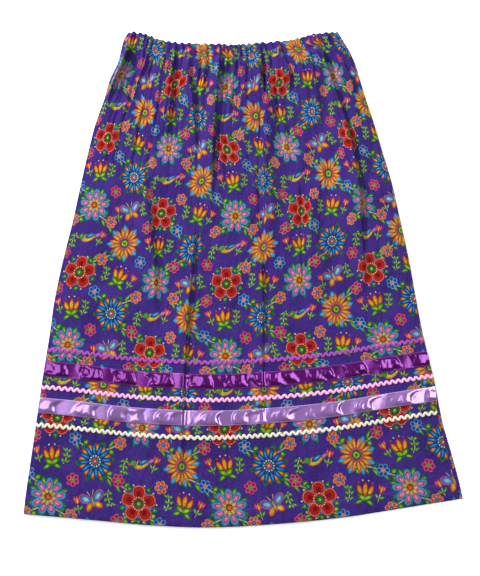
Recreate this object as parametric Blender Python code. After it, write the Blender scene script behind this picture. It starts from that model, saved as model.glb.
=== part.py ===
# Ribbon skirt, laid flat with its front up.
#
# Two straight panels of printed cotton joined at the sides. The top of each is turned down
# as an elastic casing, the bottom is turned up as a hem, and two satin ribbons and three rows
# of ric-rac are sewn round above the hem. X runs across the skirt, Y from hem to waist, Z up.
# Sizes are millimetres, and turn into metres where the meshes are made.

from collections import namedtuple
import math

import bmesh
import bpy
import numpy as np

MM = 0.001

LENGTH = 861.0            # hem edge to waist edge, up the middle
HEM_DEPTH = 27.0          # turned up at the bottom
HEM_STEP = 2.0            # half of the step where the second layer ends
CASING_DEPTH = 25.0       # turned down at the top, round the elastic
WALL = 1.1                # one layer of cotton, as a solid wall
HEM_WALL = 1.7            # two layers
CASING_WALL = 2.0         # two layers and the elastic
TRIM_WALL = 1.0           # satin ribbon or ric-rac
GAP = 0.3                 # between pieces that are sewn together

RIBBON_WIDTH = 25.4
DARK_RIBBON_UP = 235.0    # middle of each trim, up from the hem edge
LILAC_RIBBON_UP = 174.0
ORCHID_RICRAC_UP = 267.0
PINK_RICRAC_UP = 204.0
CREAM_RICRAC_UP = 142.0
RICRAC_STRAND = 5.7       # width of the braid itself
RICRAC_WIDTH = 9.0        # over its waves
TRIM_BAND = (135.0, 274.0)  # the stretch that the trims take up
BAND_RAMP = 7.0           # over which the back panel climbs onto its trims

GATHERS = 33              # across each panel
FINE_CELLS = 4 * GATHERS  # columns where the gathers are: crest, flank, trough, flank
CELLS = FINE_CELLS // 2   # columns of the front panel below them
SLOPE_STEP = 0.25         # share of a column over which a slope is measured
BACK_CELLS = 22           # columns of the plain part of the back panel
RICRAC_WAVES = CELLS      # one wave to a column

FRONT_GATHER = 1.1        # half height of a gather at the casing
BACK_GATHER = 0.8
SCALLOP = 1.3             # how far a gather pushes the waist edge up
GATHER_DRIFT = 0.007      # unevenness of their spacing, as a share of the width
GATHER_SWELLS = ((10, 0.15, 0.6), (26, 0.12, 0.0))  # half waves, size and phase of their height
GATHER_MEAN = 0.8
CASING_HOLD = 0.35        # share of a fold's height that the elastic lets through
CASING_RAMP = 14.0        # over which the wall thickens and the folds are held below the casing
EDGE_REACH = 14.0         # over which folds die away towards a side seam
SEAM_SHOWS_TO = 230.0     # the back panel wraps round the right edge up to here
SEAM_INSET = 6.0          # and shows this wide
SEAM_FADE = 60.0          # fading out over this length

# The side edges, and the curves of the hem and the waist.
Side = namedtuple("Side", "up left right")
SIDES = (
    Side(-10, -352, 365),
    Side(46, -350, 363),
    Side(104, -345, 352),
    Side(169, -339, 337),
    Side(236, -333, 327),
    Side(304, -326, 314),
    Side(374, -320, 304),
    Side(445, -309, 295),
    Side(518, -295, 283),
    Side(593, -283, 270),
    Side(651, -273, 256),
    Side(709, -261, 242),
    Side(749, -249, 231),
    Side(789, -240, 221),
    Side(825, -226, 212),
    Side(850, -221, 202),
    Side(870, -216, 191),
    Side(888, -207, 181),
)
Curve = namedtuple("Curve", "across up")
HEM = (
    Curve(0.00, 19),
    Curve(0.15, 10),
    Curve(0.30, 1),
    Curve(0.42, -2),
    Curve(0.55, 2),
    Curve(0.72, 13),
    Curve(0.88, 30),
    Curve(1.00, 43),
)
WAIST = (
    Curve(0.00, 885),
    Curve(0.07, 882),
    Curve(0.19, 866),
    Curve(0.33, 861),
    Curve(0.50, 859),
    Curve(0.65, 863),
    Curve(0.78, 870),
    Curve(0.90, 881),
    Curve(1.00, 886),
)

# Each fold has a crease, which runs through three places from its top down to its foot, and a
# ridge beside it. The ridge falls steeply to the crease and softly on its other side.
Fold = namedtuple("Fold", "top_x top_y mid_x mid_y foot_x foot_y height side steep soft")
LEFT, RIGHT = -1, 1
FOLDS = (
    Fold(-192, 857, -220, 792, -249, 700, 6.0, LEFT, 6, 15),
    Fold(-150, 840, -160, 770, -172, 660, 3.5, RIGHT, 7, 18),
    Fold(-112, 840, -118, 760, -124, 640, 4.0, LEFT, 7, 16),
    Fold(-72, 845, -73, 815, -75, 765, 4.5, RIGHT, 5, 10),
    Fold(-86, 800, -75, 730, -71, 580, 4.5, LEFT, 7, 16),
    Fold(-28, 840, -40, 652, -43, 500, 5.5, LEFT, 7, 18),
    Fold(-6, 840, -4, 780, -6, 700, 4.0, RIGHT, 5, 12),
    Fold(45, 845, 47, 774, 68, 710, 7.0, LEFT, 5, 14),
    Fold(40, 790, 33, 560, 49, 350, 5.0, RIGHT, 7, 22),
    Fold(80, 850, 93, 815, 97, 750, 4.5, LEFT, 5, 11),
    Fold(115, 845, 126, 790, 130, 660, 6.0, RIGHT, 6, 16),
    Fold(157, 855, 208, 665, 228, 350, 7.0, LEFT, 8, 26),
    Fold(170, 865, 197, 815, 226, 735, 6.0, LEFT, 5, 11),
    Fold(-154, 580, -134, 430, -129, 290, 3.5, LEFT, 11, 28),
    Fold(108, 560, 109, 430, 112, 310, 3.0, RIGHT, 11, 26),
    Fold(-84, 460, -74, 300, -94, -40, 2.6, RIGHT, 5, 14),
    Fold(49, 430, 47, 253, 51, 90, 2.2, LEFT, 8, 18),
)
FOLD_FADE = 0.55          # share of a fold's length over which it dies out at its foot
FOLD_START = 45.0         # length over which it rises at its top
CREST_STANDS = 1.3        # how far its crest stands from its crease, in steep flanks

# Rows of points up each panel, by height over the hem edge.
HEM_ROWS = (0.0, HEM_DEPTH - HEM_STEP, HEM_DEPTH + HEM_STEP)
BAND_START, BAND_END = TRIM_BAND
RIBBON_ROWS = tuple(
    middle + half * RIBBON_WIDTH / 2
    for middle in (LILAC_RIBBON_UP, DARK_RIBBON_UP)
    for half in (-1, 1)
)
FRONT_ROWS = (
    HEM_ROWS
    + (BAND_START - BAND_RAMP, BAND_START)
    + RIBBON_ROWS
    + (BAND_END, BAND_END + BAND_RAMP)
    + (345.0, 415.0, 485.0, 555.0, 620.0, 675.0, 720.0, 752.0)
)
FRONT_FINE_ROWS = (752.0, 780.0, 805.0, 824.0, LENGTH - CASING_DEPTH, LENGTH)
BACK_ROWS = (
    HEM_ROWS
    + (BAND_START - BAND_RAMP, BAND_START, BAND_END, BAND_END + BAND_RAMP)
    + (415.0, 555.0, 675.0, 752.0, 805.0)
)
BACK_FINE_ROWS = (805.0, 824.0, LENGTH - CASING_DEPTH, LENGTH)

# How strongly the gathers show, by height over the hem edge.
Strength = namedtuple("Strength", "up front back")
GATHER_STRENGTH = (
    Strength(720.0, 0.0, 0.0),
    Strength(752.0, 0.35, 0.0),
    Strength(780.0, 0.7, 0.0),
    Strength(805.0, 1.0, 0.0),
    Strength(824.0, 1.1, 0.7),
    Strength(LENGTH - CASING_DEPTH, 0.75, 0.6),
    Strength(LENGTH, 1.1, 1.0),
)

PURPLE_COTTON = ("purple_cotton", (0.045, 0.022, 0.19), 0.8)
DARK_SATIN = ("dark_purple_satin", (0.09, 0.008, 0.13), 0.3)
LILAC_SATIN = ("lilac_satin", (0.27, 0.12, 0.40), 0.3)
ORCHID_BRAID = ("orchid_braid", (0.35, 0.06, 0.38), 0.7)
PINK_BRAID = ("pink_braid", (0.91, 0.46, 0.73), 0.7)
CREAM_BRAID = ("cream_braid", (0.76, 0.72, 0.63), 0.7)


def smooth_curve(places, values, at):
    """A smooth line through the given points: a cubic between neighbours, level with the chord
    of the points on either side."""
    places = np.asarray(places, dtype=float)
    values = np.asarray(values, dtype=float)
    slopes = np.gradient(values, places)
    k = np.clip(np.searchsorted(places, at) - 1, 0, len(places) - 2)
    step = places[k + 1] - places[k]
    s = np.clip((at - places[k]) / step, 0.0, 1.0)
    start = (1 + 2 * s) * (1 - s) ** 2 * values[k] + s * (1 - s) ** 2 * step * slopes[k]
    end = s ** 2 * (3 - 2 * s) * values[k + 1] + s ** 2 * (s - 1) * step * slopes[k + 1]
    return start + end


def ease(x):
    """0 below 0, 1 above 1, and a soft S between."""
    x = np.clip(x, 0.0, 1.0)
    return x * x * (3 - 2 * x)


def column(table, name):
    return [getattr(row, name) for row in table]


def across_share(t):
    """Where a column stands across the skirt: even, but for the drift of the gathers."""
    return t + GATHER_DRIFT * np.sin(6 * math.pi * t) * np.sin(math.pi * t)


def gather_wave(t):
    """1 on a gather's crest, -1 in its trough."""
    return np.cos(2 * math.pi * GATHERS * t)


def gather_size(t):
    """Gathers differ in height, by slow waves across the waist."""
    swells = (size * np.sin(waves * math.pi * t + phase) for waves, size, phase in GATHER_SWELLS)
    return GATHER_MEAN + sum(swells)


def gather_strength(up, which):
    return np.interp(up, column(GATHER_STRENGTH, "up"), column(GATHER_STRENGTH, which))


def plan(t, up, front):
    """X and Y of the place at share t across and `up` over the hem edge."""
    share = across_share(t)
    hem = smooth_curve(column(HEM, "across"), column(HEM, "up"), share)
    waist = smooth_curve(column(WAIST, "across"), column(WAIST, "up"), share)
    in_casing = np.clip((up - LENGTH + CASING_DEPTH) / CASING_DEPTH, 0.0, 1.0)
    y = hem + (waist - hem) * up / LENGTH
    left = smooth_curve(column(SIDES, "up"), column(SIDES, "left"), y)
    right = smooth_curve(column(SIDES, "up"), column(SIDES, "right"), y)
    if front:
        right = right - SEAM_INSET * ease((SEAM_SHOWS_TO - y) / SEAM_FADE)
    x = left + (right - left) * share
    return x, y + SCALLOP * in_casing * gather_wave(t) * gather_size(t)


def near_seam(t, up):
    """0 at a side seam, 1 where the cloth is free of it."""
    x, y = plan(t, up, True)
    left = smooth_curve(column(SIDES, "up"), column(SIDES, "left"), y)
    right = smooth_curve(column(SIDES, "up"), column(SIDES, "right"), y)
    return ease((x - left) / EDGE_REACH) * ease((right - x) / EDGE_REACH)


def fold_lift(x, y):
    """Height of the folds: where two meet, the higher one carries on."""
    total = np.zeros_like(x)
    for fold in FOLDS:
        ups = (fold.foot_y, fold.mid_y, fold.top_y)
        crease = smooth_curve(ups, (fold.foot_x, fold.mid_x, fold.top_x), y)
        crest = CREST_STANDS * fold.steep
        away = fold.side * (x - crease) - crest
        reach = np.where(away < 0, fold.steep, fold.soft)
        length = fold.top_y - fold.foot_y
        lasts = ease((y - fold.foot_y) / (FOLD_FADE * length))
        starts = ease((fold.top_y + FOLD_START - y) / FOLD_START)
        total += (fold.height * lasts * starts * np.exp(-(away / reach) ** 2)) ** 3
    return np.cbrt(total)


def wall_at(up):
    """Thickness of a panel: doubled in its hem and in its casing."""
    casing = LENGTH - CASING_DEPTH
    ups = (HEM_DEPTH - HEM_STEP, HEM_DEPTH + HEM_STEP, casing - CASING_RAMP, casing)
    return np.interp(up, ups, (HEM_WALL, WALL, WALL, CASING_WALL))


def back_under(t, up):
    """Underside of the back panel: on the surface, but lifted over its own trims and by the
    gathers of its casing."""
    ramp = (BAND_START - BAND_RAMP, BAND_START, BAND_END, BAND_END + BAND_RAMP)
    over_trims = np.interp(up, ramp, (0.0, TRIM_WALL + GAP, TRIM_WALL + GAP, 0.0))
    gather = BACK_GATHER * gather_strength(up, "back") * gather_size(t) * (1 + gather_wave(t))
    return over_trims + gather * near_seam(t, up)


def back_top(t, up):
    return back_under(t, up) + wall_at(up)


def front_under_flat(t, up):
    return back_top(t, up) + GAP


def front_top(t, up):
    """Top of the front panel: the back panel's form, gathers and folds, and the wall."""
    x, y = plan(t, up, True)
    in_casing = ease((up - LENGTH + CASING_DEPTH + CASING_RAMP) / CASING_RAMP)
    hold = 1 - (1 - CASING_HOLD) * in_casing
    gather = FRONT_GATHER * gather_strength(up, "front") * gather_size(t) * (1 + gather_wave(t))
    lift = (gather + hold * fold_lift(x, y)) * near_seam(t, up)
    return front_under_flat(t, up) + wall_at(up) + lift


def front_under(t, up):
    """Underside of the front panel: a wall that is as thick on a slope as on the level."""
    step = SLOPE_STEP / FINE_CELLS
    low, high = np.clip(t - step, 0, 1), np.clip(t + step, 0, 1)
    run = plan(high, up, True)[0] - plan(low, up, True)[0]
    slope = (front_top(high, up) - front_top(low, up)) / run
    top = front_top(t, up)
    steep_wall = wall_at(up) * np.sqrt(1 + slope ** 2)
    return np.maximum(top - steep_wall, front_under_flat(t, up))


def row(cells, up, front, height):
    """One row of points across a panel."""
    t = np.linspace(0.0, 1.0, cells + 1)
    ups = np.full_like(t, up)
    x, y = plan(t, ups, front)
    return np.column_stack([x, y, height(t, ups)])


def panel_rows(rows, cells, fine_rows, fine_cells, front, height):
    plain = [row(cells, up, front, height) for up in rows]
    fine = [row(fine_cells, up, front, height) for up in fine_rows]
    return plain[:-1] + fine


def on_front(t, up):
    """A place on the top of the front panel, between its own points."""
    ups = np.asarray(FRONT_ROWS)
    k = int(np.clip(np.searchsorted(ups, up) - 1, 0, len(ups) - 2))
    share = (up - ups[k]) / (ups[k + 1] - ups[k])
    columns = np.linspace(0.0, 1.0, CELLS + 1)
    rows = [row(CELLS, ups[n], True, front_top) for n in (k, k + 1)]
    low, high = ([np.interp(t, columns, points[:, axis]) for axis in range(3)] for points in rows)
    return np.array([a + (b - a) * share for a, b in zip(low, high)])


def zip_rows(mesh, lower, upper, flip):
    """Triangles between two rows of points, which may differ in number."""
    i = j = 0
    while i < len(lower) - 1 or j < len(upper) - 1:
        next_low = (i + 1) / (len(lower) - 1)
        next_up = (j + 1) / (len(upper) - 1)
        if i < len(lower) - 1 and (next_low <= next_up or j == len(upper) - 1):
            corners = (lower[i], lower[i + 1], upper[j])
            i += 1
        else:
            corners = (lower[i], upper[j + 1], upper[j])
            j += 1
        mesh.faces.new(corners[::-1] if flip else corners)


def rim(rows):
    """The points round the edge of a sheet, anticlockwise from its first corner."""
    right = [r[-1] for r in rows[1:-1]]
    left = [r[0] for r in rows[1:-1]]
    return list(rows[0]) + right + list(rows[-1])[::-1] + left[::-1]


def cloth_wall(name, tops, unders, centre, material):
    """A sheet of cloth with real thickness: a top, an underside and the edge between them."""
    mesh = bmesh.new()
    sheets = []
    for rows in (tops, unders):
        sheets.append([[mesh.verts.new((p - centre) * MM) for p in r] for r in rows])
    for sheet, flip in zip(sheets, (False, True)):
        for lower, upper in zip(sheet, sheet[1:]):
            zip_rows(mesh, lower, upper, flip)
    top_rim, under_rim = rim(sheets[0]), rim(sheets[1])
    for n in range(len(top_rim)):
        m = (n + 1) % len(top_rim)
        mesh.faces.new((under_rim[n], under_rim[m], top_rim[m]))
        mesh.faces.new((under_rim[n], top_rim[m], top_rim[n]))
    data = bpy.data.meshes.new(name)
    mesh.to_mesh(data)
    mesh.free()
    data.materials.append(material)
    piece = bpy.data.objects.new(name, data)
    bpy.data.collections["ribbon_skirt"].objects.link(piece)
    return piece


def make_material(name, colour, roughness):
    material = bpy.data.materials.new(name)
    material.use_nodes = True
    shader = material.node_tree.nodes["Principled BSDF"]
    shader.inputs["Base Color"].default_value = (*colour, 1.0)
    shader.inputs["Roughness"].default_value = roughness
    shader.inputs["Metallic"].default_value = 0.0
    return material


def panels(centre):
    cotton = make_material(*PURPLE_COTTON)
    front = [
        panel_rows(FRONT_ROWS, CELLS, FRONT_FINE_ROWS, FINE_CELLS, True, height)
        for height in (front_top, front_under)
    ]
    back = [
        panel_rows(BACK_ROWS, BACK_CELLS, BACK_FINE_ROWS, FINE_CELLS, False, height)
        for height in (back_top, back_under)
    ]
    cloth_wall("front_panel", *front, centre, cotton)
    cloth_wall("back_panel", *back, centre, cotton)


def front_strip(name, lows, highs, centre, material):
    """A trim on the front: its two edges lie on the panel's points, moved out."""
    over = np.array([0.0, 0.0, GAP])
    wall = np.array([0.0, 0.0, TRIM_WALL])
    unders = [lows + over, highs + over]
    tops = [edge + wall for edge in unders]
    cloth_wall(name, tops, unders, centre, material)


def back_strip(name, middle, width, centre, material):
    """A trim on the back, flat on the surface under the back panel."""
    sides = [middle - width / 2, middle + width / 2]
    tops = [row(BACK_CELLS, up, False, lambda t, ups: np.full_like(t, TRIM_WALL)) for up in sides]
    unders = [row(BACK_CELLS, up, False, lambda t, ups: np.zeros_like(t)) for up in sides]
    cloth_wall(name, tops, unders, centre, material)


def ribbon(name, middle, centre, look):
    material = make_material(*look)
    lows, highs = (
        row(CELLS, middle + half * RIBBON_WIDTH / 2, True, front_top) for half in (-1, 1)
    )
    front_strip(name + "_front", lows, highs, centre, material)
    back_strip(name + "_back", middle, RIBBON_WIDTH, centre, material)


def ricrac(name, middle, centre, look):
    """Zigzag braid: its middle line swings up and down by half of what its waves add."""
    material = make_material(*look)
    swing = (RICRAC_WIDTH - RICRAC_STRAND) / 2
    places = np.linspace(0.0, 1.0, 2 * RICRAC_WAVES + 1)
    edges = []
    for half in (-1, 1):
        ups = [
            middle + swing * (-1) ** n + half * RICRAC_STRAND / 2
            for n in range(len(places))
        ]
        edges.append(np.array([on_front(t, up) for t, up in zip(places, ups)]))
    front_strip(name + "_front", edges[0], edges[1], centre, material)
    back_strip(name + "_back", middle, RICRAC_STRAND, centre, material)


def main():
    for thing in list(bpy.data.objects):
        bpy.data.objects.remove(thing)
    collection = bpy.data.collections.new("ribbon_skirt")
    bpy.context.scene.collection.children.link(collection)

    outline = np.vstack(
        panel_rows(BACK_ROWS, BACK_CELLS, BACK_FINE_ROWS, FINE_CELLS, False, back_top)
    )
    middle = (outline.min(axis=0) + outline.max(axis=0)) / 2
    centre = np.array([middle[0], middle[1], 0.0])

    panels(centre)
    ribbon("dark_ribbon", DARK_RIBBON_UP, centre, DARK_SATIN)
    ribbon("lilac_ribbon", LILAC_RIBBON_UP, centre, LILAC_SATIN)
    ricrac("orchid_ricrac", ORCHID_RICRAC_UP, centre, ORCHID_BRAID)
    ricrac("pink_ricrac", PINK_RICRAC_UP, centre, PINK_BRAID)
    ricrac("cream_ricrac", CREAM_RICRAC_UP, centre, CREAM_BRAID)


main()
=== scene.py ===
# Ribbon skirt, laid flat with its front up: printed cotton gathered into an elastic casing,
# with two satin ribbons and three rows of ric-rac sewn round above the hem.

import math

import bpy
import numpy as np
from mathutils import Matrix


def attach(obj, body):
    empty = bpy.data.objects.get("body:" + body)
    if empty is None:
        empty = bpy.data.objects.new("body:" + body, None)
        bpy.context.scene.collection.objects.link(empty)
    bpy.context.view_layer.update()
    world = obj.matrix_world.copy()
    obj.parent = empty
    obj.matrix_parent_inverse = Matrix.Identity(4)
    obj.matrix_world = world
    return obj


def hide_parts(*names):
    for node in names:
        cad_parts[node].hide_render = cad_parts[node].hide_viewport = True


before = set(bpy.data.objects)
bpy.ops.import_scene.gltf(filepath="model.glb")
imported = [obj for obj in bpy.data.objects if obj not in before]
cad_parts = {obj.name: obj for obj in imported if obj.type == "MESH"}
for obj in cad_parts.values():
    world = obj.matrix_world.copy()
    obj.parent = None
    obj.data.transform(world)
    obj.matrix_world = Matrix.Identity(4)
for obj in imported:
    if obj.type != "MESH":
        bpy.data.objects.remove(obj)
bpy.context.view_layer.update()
print("frame loaded")

mm = 0.001
circle = 2 * math.pi
scene = bpy.context.scene

# Shape of the skirt. Sizes are millimetres, up from the hem and across from its middle.
skirt = {
    "length": 861.0,
    "clothWidth": 714.0,      # each panel before it is gathered
    "hemDepth": 27.0, "hemStep": 2.0, "hemWall": 1.7,
    "casingDepth": 25.0, "casingRamp": 14.0, "casingWall": 2.0,
    "wall": 1.1, "gap": 0.3,
    "trimWall": 1.0, "trimBand": (135.0, 274.0), "bandRamp": 7.0,
    "gathers": 33, "gatherDrift": 0.007, "backGather": 0.8, "scallop": 1.3,
    "edgeReach": 14.0,
    "seamShowsTo": 230.0, "seamInset": 6.0, "seamFade": 60.0,
    "rim": 1.6,               # a panel's edge is rounded over this
    "rimShare": 0.12,         # and its thickness there is this share
    "sink": -0.15,            # the front's face goes no further under its resting level
    "underSink": 0.1,
}
casingLine = skirt["length"] - skirt["casingDepth"]
sideEdges = (             # up, left edge, right edge
    (-10, -352, 365), (46, -350, 363), (104, -345, 352), (169, -339, 337), (236, -333, 327),
    (304, -326, 314), (374, -320, 304), (445, -309, 295), (518, -295, 283), (593, -283, 270),
    (651, -273, 256), (709, -261, 242), (749, -249, 231), (789, -240, 221), (825, -226, 212),
    (850, -221, 202), (870, -216, 191), (888, -207, 181),
)
hemLine = (               # share across, up
    (0.00, 19), (0.15, 10), (0.30, 1), (0.42, -2), (0.55, 2), (0.72, 13), (0.88, 30), (1.00, 43),
)
waistLine = (
    (0.00, 885), (0.07, 882), (0.19, 866), (0.33, 861), (0.50, 859), (0.65, 863), (0.78, 870),
    (0.90, 881), (1.00, 886),
)
backStrength = ((805, 0.0), (824, 0.7), (836, 0.6), (861, 1.0))      # up, share of the back's gathers


# Values between a table's rows, on straight lines. The first column holds the places.
def between(table, at, column=1):
    rows = np.array(table, float)
    return np.interp(at, rows[:, 0], rows[:, column])


# The same on cubics, level at each row with the chord of the rows on either side.
def smoothBetween(table, at, column=1):
    rows = np.array(table, float)
    places, values = rows[:, 0], rows[:, column]
    slopes = np.gradient(values, places)
    k = np.clip(np.searchsorted(places, at) - 1, 0, len(places) - 2)
    step = places[k + 1] - places[k]
    s = np.clip((at - places[k]) / step, 0.0, 1.0)
    start = (1 + 2 * s) * (1 - s) ** 2 * values[k] + s * (1 - s) ** 2 * step * slopes[k]
    end = s ** 2 * (3 - 2 * s) * values[k + 1] + s ** 2 * (s - 1) * step * slopes[k + 1]
    return start + end


# 0 below 0, 1 above 1 and a soft S between.
def ease(x):
    x = np.clip(x, 0.0, 1.0)
    return x * x * (3 - 2 * x)


# 1 in the middle, falling off to both sides.
def bell(x):
    return np.exp(-x ** 2)


# Columns drift a little from even spacing, as gathers do.
def acrossShare(t):
    return t + skirt["gatherDrift"] * np.sin(6 * math.pi * t) * np.sin(math.pi * t)


# 1 on a gather's crest and -1 in its trough.
def gatherWave(t):
    return np.cos(circle * skirt["gathers"] * t)


# Gathers are taller here and lower there, by two slow sines.
def gatherSize(t):
    return 0.8 + 0.15 * np.sin(10 * math.pi * t + 0.6) + 0.12 * np.sin(26 * math.pi * t)


# X and Y at share t across and a height up from the hem: between the curves of hem and waist,
# and between the side edges at that height.
def planOf(t, up, front):
    share = acrossShare(t)
    hem, waist = smoothBetween(hemLine, share), smoothBetween(waistLine, share)
    inCasing = np.clip((up - casingLine) / skirt["casingDepth"], 0, 1)
    y = hem + (waist - hem) * up / skirt["length"]
    left, right = smoothBetween(sideEdges, y), smoothBetween(sideEdges, y, 2)
    if front:
        right = right - skirt["seamInset"] * ease((skirt["seamShowsTo"] - y) / skirt["seamFade"])
    x = left + (right - left) * share
    return x, y + skirt["scallop"] * inCasing * gatherWave(t) * gatherSize(t), left, right


# The wall: thicker at the hem, by a step, and in the casing, by a ramp.
def wallAt(up):
    return between((
        (skirt["hemDepth"] - skirt["hemStep"], skirt["hemWall"]),
        (skirt["hemDepth"] + skirt["hemStep"], skirt["wall"]),
        (casingLine - skirt["casingRamp"], skirt["wall"]), (casingLine, skirt["casingWall"])), up)


# 0 on the side edges and 1 from their reach inwards.
def nearSeam(x, left, right):
    return ease((x - left) / skirt["edgeReach"]) * ease((right - x) / skirt["edgeReach"])


# Underside of the back panel: on the floor, lifted over its trims and by its gathers.
def backRise(t, up, hold):
    low, high = skirt["trimBand"]
    ramp, lift = skirt["bandRamp"], skirt["trimWall"] + skirt["gap"]
    overTrims = between(((low - ramp, 0.0), (low, lift), (high, lift), (high + ramp, 0.0)), up)
    gather = skirt["backGather"] * between(backStrength, up) * gatherSize(t) * (1 + gatherWave(t))
    return overTrims + gather * hold


# Each fold: its crease through three places (x, up), height, side of its ridge, steep and soft reach.
folds = (
    (-192, 857, -220, 792, -249, 700, 6.0, -1, 6, 15),
    (-150, 840, -160, 770, -172, 660, 3.5, 1, 7, 18),
    (-112, 840, -118, 760, -124, 640, 4.0, -1, 7, 16),
    (-72, 845, -73, 815, -75, 765, 4.5, 1, 5, 10),
    (-86, 800, -75, 730, -71, 580, 4.5, -1, 7, 16),
    (-28, 840, -40, 652, -43, 500, 5.5, -1, 7, 18),
    (-6, 840, -4, 780, -6, 700, 4.0, 1, 5, 12),
    (45, 845, 47, 774, 68, 710, 7.0, -1, 5, 14),
    (40, 790, 33, 560, 49, 350, 5.0, 1, 7, 22),
    (80, 850, 93, 815, 97, 750, 4.5, -1, 5, 11),
    (115, 845, 126, 790, 130, 660, 6.0, 1, 6, 16),
    (157, 855, 208, 665, 228, 350, 7.0, -1, 8, 26),
    (170, 865, 197, 815, 226, 735, 6.0, -1, 5, 11),
    (-154, 580, -134, 430, -129, 290, 3.5, -1, 11, 28),
    (108, 560, 109, 430, 112, 310, 3.0, 1, 11, 26),
    (-72, 470, -85, 262, -90, -40, 2.9, -1, 7, 20),
    (49, 430, 47, 253, 51, 90, 2.2, -1, 8, 18),
)
folding = {
    "rise": 1.75,             # cloth stands a little over the solid
    "sharpness": 0.4,         # and bends tighter
    "fade": 0.55,
    "start": 45.0,
    "crestStands": 1.3,
    "creaseDepth": 2.3,
    "creaseWidth": 2.0,
    "creaseShows": ((130, 0.8), (150, 0.3), (255, 0.3), (300, 1.0)),      # up, share: trims bridge it
}


# The ridges beside the creases: steep on the crease's side, soft on the other, fading at both ends.
# The larger of two ridges wins, softly: the root of the sum of their cubes.
def foldLift(x, y):
    total, groove = np.zeros_like(x), np.zeros_like(x)
    for topX, topY, midX, midY, footX, footY, height, side, steep, soft in folds:
        crease = smoothBetween(((footY, footX), (midY, midX), (topY, topX)), y)
        away = side * (x - crease) - folding["crestStands"] * steep
        reach = np.where(away < 0, folding["sharpness"] * steep, soft)
        lasts = ease((y - footY) / (folding["fade"] * (topY - footY)))
        starts = ease((topY + folding["start"] - y) / folding["start"])
        total += (folding["rise"] * height * lasts * starts * bell(away / reach)) ** 3
        groove += folding["creaseDepth"] * lasts * starts * bell((x - crease) / folding["creaseWidth"])
    return np.cbrt(total) - groove * between(folding["creaseShows"], y)


# The front's small forms. Pairs give the least and the most that a form draws.
creases = {               # they run with the gathers
    "count": 84, "seed": 11, "across": (0.03, 0.97), "top": (710, 865), "length": (50, 300), "peak": 0.3,
    "height": (0.6, 2.6), "reach": (1.8, 4.5), "drift": (-0.02, 0.02),
}
gathering = {
    "height": 2.42,
    "vary": (0.1, 1.35),
    "runs": (22.0, 120.0),                             # length below the casing
    "wander": ((0.3, 46.0, 1), (0.14, 107.0, 2)),      # share of a gather, waves, turn
    "casingShift": (0.4, 29.0, 2),
    "sharpness": 4,                                    # of the troughs
    "strength": ((-7, 1.15), (0, 0.4), (6, 1.0)),      # up from the casing's seam, share
    "inCasing": 0.35,                                  # share of folds and creases that lasts there
}
swelling = {
    "count": 11, "width": (34.0, 120.0), "slant": (-0.28, 0.28), "turn": (0, circle),
    "bend": 6.0, "bendLength": 95.0, "fadeLength": 140.0, "steady": 0.6, "middle": 1.1,
    "height": ((0, 0.9), (110, 1.3), (300, 1.7), (600, 2.4), (780, 2.4), (836, 1.1), (861, 0.6)),
}
seams = {                 # grooves along both, and puckers along the hem's
    "depth": 0.5, "hemReach": 1.4, "casingReach": 1.8,
    "pucker": 0.3, "puckerReach": 11.0, "puckerLength": 2.7, "puckerDrift": 31.0,
}
random = np.random.default_rng(creases["seed"])


# Random values of a form's keys in turn, each even between its pair.
def draw(form, keys, count):
    return [random.uniform(*form[key], count) for key in keys]


creaseAt, creaseTop, creaseLength, creaseHeight, creaseReach, creaseDrift = draw(
    creases, ("across", "top", "length", "height", "reach", "drift"), creases["count"])
creaseAt = np.sort(creaseAt)
gatherVary, gatherRuns = draw(gathering, ("vary", "runs"), skirt["gathers"] + 1)
swellWidth, swellSlant, swellTurn = draw(swelling, ("width", "slant", "turn"), swelling["count"])


# Narrow troughs and ridges in turn, each a bell across and fading over its length.
def smallCreases(t, up, width):
    total = np.zeros_like(t)
    for n in range(creases["count"]):
        along = np.clip((creaseTop[n] - up) / creaseLength[n], -creases["peak"], 1.0)
        fade = ease(1 - np.abs(along - creases["peak"]) / (1 - creases["peak"]))
        away = (t - creaseAt[n] - creaseDrift[n] * along) * width / creaseReach[n]
        total += (-1) ** n * creaseHeight[n] * fade * bell(away)
    return total


# Slow swells of cloth that doesn't lie quite flat: long waves, mostly down the skirt, whose crests
# bend a little to and fro. Between -1 and 1 nearly everywhere.
def swells(x, y):
    total = np.zeros_like(x)
    for width, slant, turn in zip(swellWidth, swellSlant, swellTurn):
        bend = swelling["bend"] * np.sin(y / swelling["bendLength"] + 3 * turn)
        fade = swelling["steady"] + (1 - swelling["steady"]) * np.sin(y / swelling["fadeLength"] + 5 * turn)
        total += fade * np.sin(circle * (x + slant * y + bend) / width + turn)
    return total / (1.6 * swelling["count"] ** 0.5)


# Gathers under and in the casing: rounded crests between narrow troughs, each of its own height
# and length.
def gatherLift(t, up):
    place = t * skirt["gathers"]
    for share, waves, turn in gathering["wander"]:
        place = place + share * np.sin(waves * t + turn)
    share, waves, turn = gathering["casingShift"]
    place = place + share * np.sin(waves * t + turn) * ease((up - casingLine) / 5 + 0.5)
    number = np.arange(skirt["gathers"] + 1)
    vary, runs = np.interp(place, number, gatherVary), np.interp(place, number, gatherRuns)
    lasts = ease(1.15 - np.clip(casingLine - up, 0.0, None) / runs)
    strength = between(gathering["strength"], up - casingLine)
    return gathering["height"] * vary * strength * lasts * (
        1 - np.sin(math.pi * place) ** gathering["sharpness"])


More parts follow.
